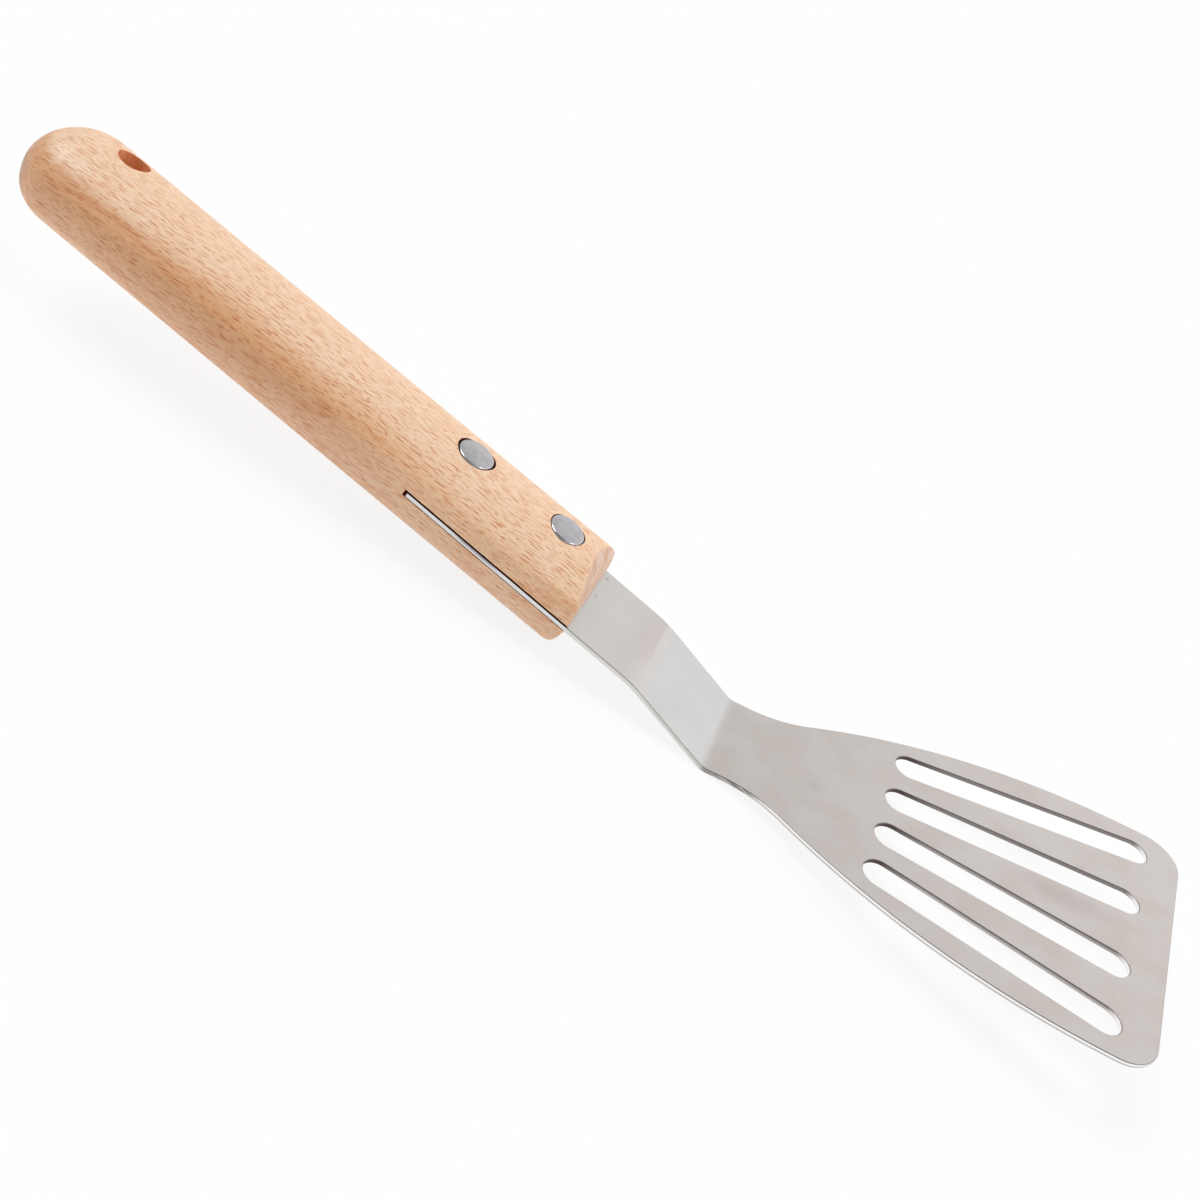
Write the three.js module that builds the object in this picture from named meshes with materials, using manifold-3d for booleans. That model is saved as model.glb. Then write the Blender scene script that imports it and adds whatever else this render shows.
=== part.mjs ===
// Barbecue spatula: a slotted blade, bent with its neck and tang from one stainless sheet, and held
// in the saw kerf of a beech handle by two cutlery rivets. Millimetres, +Z up, +X towards the blade.
// The spatula lies as it rests on a table, on the handle's front lip and on the heel of the blade.
import * as THREE from 'three';
import { mergeVertices } from 'three/addons/utils/BufferGeometryUtils.js';
import Module from 'manifold-3d';

const clearance = 0.3;          // between pieces that seat on or pass through each other

// Beech handle
const handleLength = 153.3;
const handleWidth = 28.2;
const lipThickness = 22.8;      // over both crowns, at the front lip
const buttThickness = 21.9;     // the same where the rounding of the butt begins
const upperEdge = { front: 5.9, butt: 3.6 };  // where the crown would meet the sides, above the middle
const lowerEdge = { front: 4.7, butt: 3.7 };  // the same below the middle
const edgeRadius = 2.9;         // between crown and side
const noseSetback = 5.2;        // how far the rounded front end runs back at the crowns
const buttRound = 11.8;         // length of the rounded butt
const hangHoleDiameter = 7.3;
const hangHoleFromButt = 18.5;
const hangHoleOffset = 2.85;    // from the middle of the handle towards +Y

// Bent sheet: tang, neck and blade
const sheetThickness = 1.2;
const stripWidth = 28;          // tang and neck
const tangInside = 44.7;        // length of the tang in the handle
const tangOutside = 18.8;       // from the handle's front end to the first bend
const tangTilt = 0.86;          // degrees, the kerf climbs a little towards the butt
const neckLength = 24.7;        // from the first bend to the second
const neckDrop = 11.5;          // degrees, first bend, down from the tang
const neckBendRadius = 30;
const bladeRise = 17.9;         // degrees, blade up from the tang's direction
const bladeBendRadius = 4;
const kerfOverrun = 0.7;        // kerf beyond the end of the tang

// Blade outline, measured along the blade from the second bend
const bladeLength = 111;        // to the front edge on the centre line
const bladeWidth = 78;          // at its widest
const widestAt = 99.9;
const flankRadius = 161.7;
const filletRadius = 30;        // between neck and flank
const cornerRadius = 8.7;
const frontSlant = 8.3;         // degrees, the front edge runs further out on the +Y side

// Draining slots, from the -Y side to the +Y side
const slotWidth = 7.8;
const slotStart = 40.9;         // rear ends of the slots on the centre line
const slotStartSlant = 3.66;    // degrees
const slotLand = 8.1;           // sheet left between the slots and the front edge
const slotRearY = [-20.1, -6.7, 6.9, 20.9];
const slotFrontY = [-30.1, -12.2, 10.1, 30];

// Cutlery rivets: a headed tube from above and a headed pin from below
const rivetFromFront = { front: 13.3, rear: 39 };
const rivetHeadDiameter = 8.8;
const rivetHeadEdge = 1.2;
const rivetProud = 0.45;        // rim of the head above the crown at its two sides
const rivetDome = 0.3;
const rivetTubeDiameter = 5.2;
const rivetPinDiameter = 3;

// Steps of the rounded outlines
const edgeSteps = 4;
const crownSteps = 7;
const buttSteps = 9;
const noseSteps = 14;
const bendSteps = 5;
const flankSteps = 16;
const cornerSteps = 8;
const slotEndSteps = 12;
const roundSteps = 32;

const past = 5;                 // how far a cutting shape runs past what it cuts

const wasm = await Module();
wasm.setup();

const radians = THREE.MathUtils.degToRad;

// Points of an arc about (u, v), from one angle to another
function arc(u, v, radius, from, to, steps) {
  return Array.from({ length: steps + 1 }, (_, i) => {
    const angle = from + ((to - from) * i) / steps;
    return new THREE.Vector2(u + radius * Math.cos(angle), v + radius * Math.sin(angle));
  });
}

// A closed geometry as a solid for joining and cutting
function solid(geometry) {
  geometry.deleteAttribute('normal');
  geometry.deleteAttribute('uv');
  const merged = mergeVertices(geometry);
  const corners = merged.index.array;
  const kept = [];
  for (let i = 0; i < corners.length; i += 3) {
    const [a, b, c] = [corners[i], corners[i + 1], corners[i + 2]];
    if (a !== b && b !== c && c !== a) kept.push(a, b, c);
  }
  return new wasm.Manifold(new wasm.Mesh({
    numProp: 3,
    vertProperties: Float32Array.from(merged.attributes.position.array),
    triVerts: Uint32Array.from(kept),
  }));
}

// A solid as a named mesh
function piece(name, body, material) {
  const { vertProperties, triVerts } = body.getMesh();
  const geometry = new THREE.BufferGeometry();
  geometry.setAttribute('position', new THREE.BufferAttribute(vertProperties, 3));
  geometry.setIndex(new THREE.BufferAttribute(triVerts, 1));
  geometry.computeVertexNormals();
  const mesh = new THREE.Mesh(geometry, material);
  mesh.name = name;
  return mesh;
}

// Prism of an outline drawn in side view (x, z), centred on y = 0
function sidePrism(outline, width) {
  const geometry = new THREE.ExtrudeGeometry(new THREE.Shape(outline), { depth: width, bevelEnabled: false });
  return geometry.rotateX(Math.PI / 2).translate(0, width / 2, 0);
}

// Round bar along Z, at (x, y), between two heights
function bar(x, y, diameter, low, high) {
  const geometry = new THREE.CylinderGeometry(diameter / 2, diameter / 2, high - low, roundSteps);
  return geometry.rotateX(Math.PI / 2).translate(x, y, (low + high) / 2);
}

const handleHalf = handleWidth / 2;
const handleTop = lipThickness / 2;

// Upper or lower crown of the handle at x, counted from its front end: one arc over the whole width
function crownAt(x, edge) {
  const fromLip = (-x - noseSetback) / (handleLength - buttRound - noseSetback);
  const top = THREE.MathUtils.lerp(lipThickness, buttThickness, fromLip) / 2;
  const fromFront = -x / (handleLength - buttRound);
  const drop = top - THREE.MathUtils.lerp(edge.front, edge.butt, fromFront);
  const radius = (handleHalf ** 2 + drop ** 2) / (2 * drop);
  return { top, radius, centre: top - radius };
}

// Half of the handle's section at x: a crown between two flat sides, with an arc rounding each edge
function halfSection(x, side) {
  const crown = crownAt(x, side);
  const edgeY = handleHalf - edgeRadius;
  const rise = Math.sqrt((crown.radius - edgeRadius) ** 2 - edgeY ** 2);
  const tangent = Math.atan2(rise, edgeY);
  const edge = arc(edgeY, crown.centre + rise, edgeRadius, 0, tangent, edgeSteps);
  const top = arc(0, crown.centre, crown.radius, tangent, Math.PI / 2, crownSteps);
  const quarter = [...edge, ...top.slice(1, -1)];
  return [
    ...quarter,
    new THREE.Vector2(0, crown.top),
    ...quarter.map((p) => new THREE.Vector2(-p.x, p.y)).reverse(),
  ];
}

// Whole section of the handle at x
function sectionAt(x) {
  const lower = halfSection(x, lowerEdge).map((p) => new THREE.Vector2(-p.x, -p.y));
  return [...halfSection(x, upperEdge), ...lower];
}

// Bar of the handle's section with the butt drawn in as an ellipse, longer at the front than it ends
function handleBlank() {
  const stations = [{ x: past, scale: 1 }];
  for (let i = 0; i < buttSteps; i += 1) {
    const angle = ((Math.PI / 2) * i) / buttSteps;
    stations.push({ x: buttRound - handleLength - buttRound * Math.sin(angle), scale: Math.cos(angle) });
  }
  const rings = stations.map(({ x, scale }) =>
    sectionAt(x).map((p) => new THREE.Vector3(x, p.x * scale, p.y * scale)));
  const count = rings[0].length;
  const points = [...rings.flat(), new THREE.Vector3(past, 0, 0), new THREE.Vector3(-handleLength, 0, 0)];
  const [frontCentre, buttTip] = [points.length - 2, points.length - 1];
  const lastRing = (rings.length - 1) * count;
  const corners = [];
  for (let j = 0; j < count; j += 1) {
    const next = (j + 1) % count;
    corners.push(frontCentre, j, next);
    corners.push(buttTip, lastRing + next, lastRing + j);
    for (let ring = 0; ring < lastRing; ring += count) {
      corners.push(ring + j, ring + count + j, ring + next);
      corners.push(ring + next, ring + count + j, ring + count + next);
    }
  }
  return new THREE.BufferGeometry().setFromPoints(points).setIndex(corners);
}

// Side view of the front end: an arc through the tip and through both crowns, set back there
function noseOutline() {
  const radius = (noseSetback ** 2 + handleTop ** 2) / (2 * noseSetback);
  const reach = Math.asin(handleTop / radius);
  const rear = -handleLength - past;
  return [
    new THREE.Vector2(rear, -handleTop - past),
    new THREE.Vector2(-noseSetback, -handleTop - past),
    ...arc(-radius, 0, radius, -reach, reach, noseSteps),
    new THREE.Vector2(-noseSetback, handleTop + past),
    new THREE.Vector2(rear, handleTop + past),
  ];
}

// The sheet's middle line in side view, through the middle of the handle's front end
const neckRadius = neckBendRadius + sheetThickness / 2;
const heelRadius = bladeBendRadius + sheetThickness / 2;
const headings = {
  tang: radians(-tangTilt),
  neck: radians(-tangTilt - neckDrop),
  blade: radians(bladeRise - tangTilt),
};
const along = (from, heading, length) =>
  new THREE.Vector2(from.x + length * Math.cos(heading), from.y + length * Math.sin(heading));
const tangEnd = along(new THREE.Vector2(0, 0), headings.tang, -tangInside);
const neckBend = along(new THREE.Vector2(0, 0), headings.tang, tangOutside);
const heelBend = along(neckBend, headings.neck, neckLength);

// Centre of a bend's arc, and the arc at a distance to the left of the middle line
function bendArc(corner, before, after, radius, offset) {
  const turn = Math.sign(after - before);
  const tangentPoint = along(corner, before, -radius * Math.tan(Math.abs(after - before) / 2));
  const centre = along(tangentPoint, before + (turn * Math.PI) / 2, radius);
  const quarter = (turn * Math.PI) / 2;
  const points = arc(centre.x, centre.y, radius - turn * offset, before - quarter, after - quarter, bendSteps);
  return { centre, points };
}

// One face of the bent sheet in side view, offset to the left of the middle line
function sheetFace(offset) {
  const left = Math.PI / 2;
  const bladeEnd = along(heelBend, headings.blade, bladeLength + bladeWidth / 2);
  return [
    along(tangEnd, headings.tang + left, offset),
    ...bendArc(neckBend, headings.tang, headings.neck, neckRadius, offset).points,
    ...bendArc(heelBend, headings.neck, headings.blade, heelRadius, offset).points,
    along(bladeEnd, headings.blade + left, offset),
  ];
}

// Blade outline in its own plane, with the second bend at x = 0
function bladeOutline() {
  const strip = stripWidth / 2;
  const flank = new THREE.Vector2(widestAt, bladeWidth / 2 - flankRadius);
  const filletY = strip + filletRadius;
  const filletX = widestAt - Math.sqrt((flankRadius + filletRadius) ** 2 - (filletY - flank.y) ** 2);
  const meeting = Math.atan2(filletY - flank.y, filletX - flank.x);
  const slant = radians(frontSlant);
  const front = new THREE.Vector2(Math.cos(slant), -Math.sin(slant));
  const across = new THREE.Vector2(Math.sin(slant), Math.cos(slant));
  const side = (sign) => {
    // the corner's centre lies at its radius behind the front edge and inside the flank's arc
    const centreY = sign * flank.y;
    const base = front.clone().multiplyScalar(bladeLength * Math.cos(slant) - cornerRadius);
    const toBase = base.clone().sub(new THREE.Vector2(flank.x, centreY));
    const b = toBase.dot(across);
    const reach = -b + sign * Math.sqrt(b * b - toBase.lengthSq() + (flankRadius - cornerRadius) ** 2);
    const corner = base.addScaledVector(across, reach);
    const leave = Math.atan2(sign * (corner.y - centreY), corner.x - flank.x);
    const half = [
      new THREE.Vector2(-past, strip),
      ...arc(filletX, filletY, filletRadius, -Math.PI / 2, meeting - Math.PI, bendSteps),
      ...arc(flank.x, flank.y, flankRadius, meeting, leave, flankSteps).slice(1),
    ].map((p) => new THREE.Vector2(p.x, sign * p.y));
    return [...half, ...arc(corner.x, corner.y, cornerRadius, sign * leave, -slant, cornerSteps).slice(1)];
  };
  return [...side(-1), ...side(1).reverse()];
}

// Round-ended slots that fan out from the neck
function slotOutlines() {
  const radius = slotWidth / 2;
  return slotRearY.map((rearY, i) => {
    const rearX = slotStart + radius + rearY * Math.tan(radians(slotStartSlant));
    const frontY = slotFrontY[i];
    const frontX = bladeLength + frontY * Math.tan(radians(frontSlant))
      - (slotLand + radius) / Math.cos(radians(frontSlant));
    const heading = Math.atan2(frontY - rearY, frontX - rearX);
    const quarter = Math.PI / 2;
    return new THREE.Path([
      ...arc(frontX, frontY, radius, heading - quarter, heading + quarter, slotEndSteps),
      ...arc(rearX, rearY, radius, heading + quarter, heading + 3 * quarter, slotEndSteps),
    ]);
  });
}

// Height of a rivet head's rim, which stands a little above the crown at the two sides of the head
function rimHeight(x, edge) {
  const crown = crownAt(x, edge);
  return crown.centre + Math.sqrt(crown.radius ** 2 - (rivetHeadDiameter / 2) ** 2) + rivetProud;
}

// Half of a rivet turned about its axis, from the top of its dome down to its foot at the other head
function rivetHalf(x, edge, otherEdge, foot) {
  const radius = rivetHeadDiameter / 2;
  const rim = rimHeight(x, edge);
  const domeRadius = (radius ** 2 + rivetDome ** 2) / (2 * rivetDome);
  const reach = Math.asin(radius / domeRadius);
  const dome = arc(0, rim + rivetDome - domeRadius, domeRadius, Math.PI / 2, Math.PI / 2 - reach, edgeSteps);
  dome[0].x = 0;
  const under = rim - rivetHeadEdge;
  const end = clearance + rivetHeadEdge - rimHeight(x, otherEdge);
  const profile = [...dome, new THREE.Vector2(radius, under), ...foot(under, end)].reverse();
  return new THREE.LatheGeometry(profile, roundSteps).rotateX(Math.PI / 2).translate(x, 0, 0);
}

const boreRadius = rivetPinDiameter / 2 + clearance;
const tubeFoot = (under, end) => [
  new THREE.Vector2(rivetTubeDiameter / 2, under),
  new THREE.Vector2(rivetTubeDiameter / 2, end),
  new THREE.Vector2(boreRadius, end),
  new THREE.Vector2(boreRadius, under),
  new THREE.Vector2(0, under),
];
const pinFoot = (under, end) => [
  new THREE.Vector2(rivetPinDiameter / 2, under),
  new THREE.Vector2(rivetPinDiameter / 2, end),
  new THREE.Vector2(0, end),
];

// Seats for one rivet in the handle: a through hole and a pocket for each head
function rivetSeat(x) {
  const hole = rivetTubeDiameter + 2 * clearance;
  const pocket = rivetHeadDiameter + 2 * clearance;
  const floorAt = (edge) => rimHeight(x, edge) - rivetHeadEdge - clearance;
  const top = handleTop + past;
  return [
    bar(x, 0, hole, -top, top),
    bar(x, 0, pocket, floorAt(upperEdge), top),
    bar(x, 0, pocket, -top, -floorAt(lowerEdge)),
  ];
}

const rivetPlaces = Object.entries(rivetFromFront);

function handle() {
  const kerfLength = tangInside + kerfOverrun;
  const kerf = new THREE.BoxGeometry(kerfLength + past, handleWidth + 2 * past, sheetThickness + 2 * clearance)
    .translate((past - kerfLength) / 2, 0, 0)
    .rotateY(-headings.tang);
  const hole = bar(hangHoleFromButt - handleLength, hangHoleOffset, hangHoleDiameter, -handleTop - past,
    handleTop + past);
  const cuts = [kerf, hole, ...rivetPlaces.flatMap(([, place]) => rivetSeat(-place))];
  const nose = solid(sidePrism(noseOutline(), handleWidth + 2 * past));
  return cuts.reduce((body, cut) => body.subtract(solid(cut)), solid(handleBlank()).intersect(nose));
}

function bentSheet() {
  const faces = [...sheetFace(-sheetThickness / 2), ...sheetFace(sheetThickness / 2).reverse()];
  const ribbon = solid(sidePrism(faces, bladeWidth + 2 * past));
  const outline = new THREE.Shape(bladeOutline());
  outline.holes = slotOutlines();
  const depth = 2 * (sheetThickness + past);
  const blade = new THREE.ExtrudeGeometry(outline, { depth, bevelEnabled: false })
    .translate(0, 0, -depth / 2)
    .rotateY(-headings.blade)
    .translate(heelBend.x, 0, heelBend.y);
  const stripLength = heelBend.x - tangEnd.x + past;
  const strip = new THREE.BoxGeometry(stripLength, stripWidth, handleLength)
    .translate(heelBend.x - stripLength / 2, 0, 0);
  const flat = ribbon.intersect(solid(strip).add(solid(blade)));
  const hole = rivetTubeDiameter + 2 * clearance;
  return rivetPlaces.reduce(
    (body, [, place]) => body.subtract(solid(bar(-place, 0, hole, -handleTop, handleTop))), flat);
}

const beech = new THREE.MeshStandardMaterial({ color: 0xe8c09a, roughness: 0.6, metalness: 0 });
const stainless = new THREE.MeshStandardMaterial({ color: 0xc5c0bc, roughness: 0.4, metalness: 1 });
const nickel = new THREE.MeshStandardMaterial({ color: 0xb4b2b4, roughness: 0.35, metalness: 1 });

const tool = new THREE.Group();
tool.add(piece('handle', handle(), beech), piece('blade', bentSheet(), stainless));
for (const [name, place] of rivetPlaces) {
  const tube = rivetHalf(-place, upperEdge, lowerEdge, tubeFoot);
  const pin = rivetHalf(-place, lowerEdge, upperEdge, pinFoot).rotateX(Math.PI);
  tool.add(piece(`${name}_rivet_tube`, solid(tube), nickel), piece(`${name}_rivet_pin`, solid(pin), nickel));
}

// At rest the line under the handle's front lip touches the rounded heel of the blade
const lip = new THREE.Vector2(-noseSetback, -handleTop);
const heel = bendArc(heelBend, headings.neck, headings.blade, heelRadius, 0).centre;
const toHeel = heel.clone().sub(lip);
const restTilt = toHeel.angle() - Math.asin((heelRadius + sheetThickness / 2) / toHeel.length());
tool.rotation.y = restTilt;

// Origin below the middle of the spatula, at table height
const spatula = new THREE.Group();
spatula.add(tool);
const box = new THREE.Box3().setFromObject(spatula, true);
const middle = box.getCenter(new THREE.Vector3());
spatula.position.set(-middle.x, -middle.y, -box.min.z);

export default spatula;
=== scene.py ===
import bmesh
import bpy
import numpy as np
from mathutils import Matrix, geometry


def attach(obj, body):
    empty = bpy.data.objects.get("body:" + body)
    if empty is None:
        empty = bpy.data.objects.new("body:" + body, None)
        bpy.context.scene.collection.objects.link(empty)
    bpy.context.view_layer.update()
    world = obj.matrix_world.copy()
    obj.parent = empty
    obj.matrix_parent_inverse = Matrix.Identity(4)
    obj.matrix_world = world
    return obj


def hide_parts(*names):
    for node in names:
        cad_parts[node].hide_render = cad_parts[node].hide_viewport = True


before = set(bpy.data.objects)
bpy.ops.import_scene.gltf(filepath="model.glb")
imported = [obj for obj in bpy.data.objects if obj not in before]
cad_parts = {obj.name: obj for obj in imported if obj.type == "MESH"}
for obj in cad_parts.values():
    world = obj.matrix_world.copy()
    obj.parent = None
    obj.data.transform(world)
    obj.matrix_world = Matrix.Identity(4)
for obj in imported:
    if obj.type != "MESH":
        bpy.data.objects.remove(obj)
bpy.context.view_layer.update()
print("frame loaded:", ", ".join(sorted(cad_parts)))

scene = bpy.context.scene
scene.view_settings.view_transform = "Standard"

# How the spatula lies on the table: the handle's own frame is tilted and lifted, degrees and mm
rest = dict(tilt=6.369025, shiftX=-1.532097, lift=10.752795)


def tilted(vectors, degrees):  # turned about Y
    tilt = np.radians(degrees)
    x, y, z = np.moveaxis(vectors, -1, 0)
    return np.stack([x * np.cos(tilt) + z * np.sin(tilt), y, z * np.cos(tilt) - x * np.sin(tilt)], -1)


def layDown(points):  # handle frame in mm to the part's frame in metres
    return (tilted(points, rest["tilt"]) + (rest["shiftX"], 0, rest["lift"])) * 0.001


def linear(red, green, blue):  # a screen colour, 0 to 255, as the light that it stands for
    share = np.array([red, green, blue]) / 255
    light = np.where(share <= 0.04045, share / 12.92, ((share + 0.055) / 1.055) ** 2.4)
    return (*light.tolist(), 1.0)


# Camera

# place in metres, turn in degrees, lens and sensor in mm
cameraView = dict(
    place=(-0.00294, -0.23451, 0.17098), turn=(50.5335, -28.4138, 20.4129), lens=37.874, sensor=36, nearest=0.01)

camera = bpy.data.objects.new("camera", bpy.data.cameras.new("camera"))
camera.data.lens = cameraView["lens"]
camera.data.sensor_width = cameraView["sensor"]
camera.data.clip_start = cameraView["nearest"]
camera.location = cameraView["place"]
camera.rotation_euler = np.radians(cameraView["turn"])
scene.collection.objects.link(camera)
scene.camera = camera
print("camera placed")


# Shader values with arithmetic

class Wire:
    def __init__(self, tree, socket=None):
        self.tree = tree
        self.socket = socket

    def node(self, kind, settings, sockets, output=0):  # any node: its type, settings, sockets, and the output used
        made = self.tree.nodes.new(kind)
        for key, value in settings.items():
            setattr(made, key, value)
        for key, value in sockets.items():
            if isinstance(value, Wire):
                self.tree.links.new(value.socket, made.inputs[key])
            else:
                made.inputs[key].default_value = value
        return Wire(self.tree, made.outputs[output] if made.outputs else None)

    def math(self, operation, first, second):
        return self.node("ShaderNodeMath", {"operation": operation}, {0: first, 1: second})

    def __add__(self, other):
        return self.math("ADD", self, other)

    def __sub__(self, other):
        return self.math("SUBTRACT", self, other)

    def __rsub__(self, other):
        return self.math("SUBTRACT", other, self)

    def __mul__(self, other):
        return self.math("MULTIPLY", self, other)

    def __truediv__(self, other):
        return self.math("DIVIDE", self, other)

    def __pow__(self, other):
        return self.math("POWER", self, other)

    def __abs__(self):
        return self.math("ABSOLUTE", self, 0.0)

    __radd__ = __add__
    __rmul__ = __mul__


def step(value, low, high):  # eased from 0 at low to 1 at high
    return value.node("ShaderNodeMapRange", {"interpolation_type": "SMOOTHSTEP"},
                      {"Value": value, "From Min": low, "From Max": high})


def blendColour(share, first, second, way="MIX"):
    return share.node("ShaderNodeMix", {"data_type": "RGBA", "blend_type": way}, {0: share, 6: first, 7: second}, 2)


def split(vector):
    return [vector.node("ShaderNodeSeparateXYZ", {}, {0: vector}, axis) for axis in "XYZ"]


def stretch(vector, lengths):  # a vector measured in cells of the given lengths
    return vector.node("ShaderNodeVectorMath", {"operation": "DIVIDE"}, {0: vector, 1: lengths})


def cloud(vector, lengths, detail=2.0, roughness=0.5):  # soft noise, about 0.5, in cells of the given lengths
    return vector.node("ShaderNodeTexNoise", {}, {"Vector": stretch(vector, lengths), "Scale": 1.0, "Detail": detail,
                                                 "Roughness": roughness}, "Fac")


def newFinish(name):
    material = bpy.data.materials.new(name)
    material.use_nodes = True
    material.node_tree.nodes.clear()
    start = Wire(material.node_tree)
    spot = start.node("ShaderNodeTexCoord", {}, {}, "Object")
    spot = start.node("ShaderNodeMapping", {"vector_type": "TEXTURE"}, {
        "Vector": spot, "Location": (rest["shiftX"] * 0.001, 0, rest["lift"] * 0.001),
        "Rotation": (0, np.radians(rest["tilt"]), 0), "Scale": (0.001, 0.001, 0.001)})
    return material, start, spot  # spot is in mm in the handle's own frame


def closeFinish(start, sockets):
    shader = start.node("ShaderNodeBsdfPrincipled", {}, sockets)
    start.node("ShaderNodeOutputMaterial", {}, {"Surface": shader})


# Meshes from grids

def ringFaces(rows, columns):  # quads of a grid whose columns close on themselves, facing out
    i, j = np.meshgrid(np.arange(rows - 1), np.arange(columns), indexing="ij")
    k = (j + 1) % columns
    corners = [i * columns + j, (i + 1) * columns + j, (i + 1) * columns + k, i * columns + k]
    return np.stack(corners, -1).reshape(-1, 4)


def newObject(name, points, faces):
    mesh = bpy.data.meshes.new(name)
    mesh.from_pydata(layDown(points).tolist(), [], faces)
    made = bpy.data.objects.new(name, mesh)
    scene.collection.objects.link(made)
    return made


def closePoles(made):  # a row that shrinks to a point becomes one vertex
    work = bmesh.new()
    work.from_mesh(made.data)
    bmesh.ops.remove_doubles(work, verts=work.verts, dist=1e-7)
    work.to_mesh(made.data)
    work.free()
    return made


def turned(name, profile, x, y, longer=1.0, columns=96):
    # a profile of (radius, height) turned about an upright axis, and made longer along X
    angle = np.linspace(0, 2 * np.pi, columns, endpoint=False)
    radius, height = np.asarray(profile, float).T
    points = np.stack([x + longer * np.outer(radius, np.cos(angle)), y + np.outer(radius, np.sin(angle)),
                       np.repeat(height[:, None], columns, 1)], -1)
    return closePoles(newObject(name, points.reshape(-1, 3), ringFaces(len(radius), columns).tolist()))


def carve(body, cutter):
    cut = body.modifiers.new("cut", "BOOLEAN")
    cut.operation = "DIFFERENCE"
    cut.solver = "EXACT"
    cut.object = cutter
    graph = bpy.context.evaluated_depsgraph_get()
    body.data = bpy.data.meshes.new_from_object(body.evaluated_get(graph))
    body.modifiers.clear()
    bpy.data.objects.remove(cutter)


# Handle

# lengths in mm; the edge heights are given at the front and where the butt begins; then the rows of its mesh
handleShape = dict(
    length=153.3, width=28.2, lipThickness=22.8, buttThickness=21.9, upperEdge=(5.9, 3.6),
    lowerEdge=(4.7, 3.7), edgeRadius=2.9, noseSetback=5.2, noseBreak=0.6, buttRound=11.8,
    holeRadius=3.65, holeFromButt=18.5, holeOffset=2.85,
    kerfLength=45.4, kerfTilt=0.86, kerfFloor=-0.63, kerfRoof=1.06,
    columns=144, noseRows=15, barRows=150, buttRows=25, sharpFrom=32.0)
rivetShape = dict(
    front=13.3, rear=39.0, headRadius=4.4, headEdge=1.2, proud=0.45, dome=0.3, rimRound=0.4,
    tubeRadius=2.6, tubeRoof=0.3, pinRadius=1.5, pinGap=0.3, pinShort=0.6,
    seatGap=0.05, pocketGap=0.1, pocketLonger=dict(front=1.0, rear=1.07),
    domeRows=14, rimRows=7, sharpFrom=40.0)


def crownAt(x, sign):
    # the upper or the lower crown is one arc over the full width; its top and its edges fall evenly towards the butt
    h = handleShape
    barLength = h["length"] - h["buttRound"]
    fromLip = (-x - h["noseSetback"]) / (barLength - h["noseSetback"])
    top = (h["lipThickness"] + (h["buttThickness"] - h["lipThickness"]) * fromLip) / 2
    upper, lower = [front - (butt - front) * x / barLength for front, butt in (h["upperEdge"], h["lowerEdge"])]
    drop = top - np.where(sign > 0, upper, lower)
    radius = ((h["width"] / 2) ** 2 + drop ** 2) / (2 * drop)
    return radius, top - radius


def handleSection(x, v):
    # v runs once round the section; each quarter is a flat side, an arc round the edge, and half a crown
    h = handleShape
    turnCount = 4 * v
    q = np.abs((turnCount + 1) % 2 - 1)
    ySign = np.where((turnCount < 1) | (turnCount >= 3), 1, -1)
    zSign = np.where(turnCount < 2, 1, -1)
    radius, centre = crownAt(x, zSign)
    edgeY = h["width"] / 2 - h["edgeRadius"]
    rise = np.sqrt((radius - h["edgeRadius"]) ** 2 - edgeY ** 2)
    tangent = np.arctan2(rise, edgeY)
    sideEnd, edgeEnd = 0.14, 0.38  # where in a quarter the flat side and the edge's arc end
    edgeTurn = np.clip((q - sideEnd) / (edgeEnd - sideEnd), 0, 1) * tangent
    crownTurn = tangent + np.clip((q - edgeEnd) / (1 - edgeEnd), 0, 1) * (np.pi / 2 - tangent)
    onCrown = q >= edgeEnd
    y = np.where(onCrown, radius * np.cos(crownTurn), edgeY + h["edgeRadius"] * np.cos(edgeTurn))
    zEdge = centre + rise + h["edgeRadius"] * np.sin(edgeTurn)
    z = np.where(onCrown, centre + radius * np.sin(crownTurn), zEdge)
    z = np.where(q < sideEnd, (centre + rise) * q / sideEnd, z)
    return y * ySign, z * zSign


def noseX(z):  # the front end is an arc in side view, through the tip and both crowns
    h = handleShape
    radius = (h["noseSetback"] ** 2 + (h["lipThickness"] / 2) ** 2) / (2 * h["noseSetback"])
    return np.sqrt(radius ** 2 - z ** 2) - radius


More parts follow.
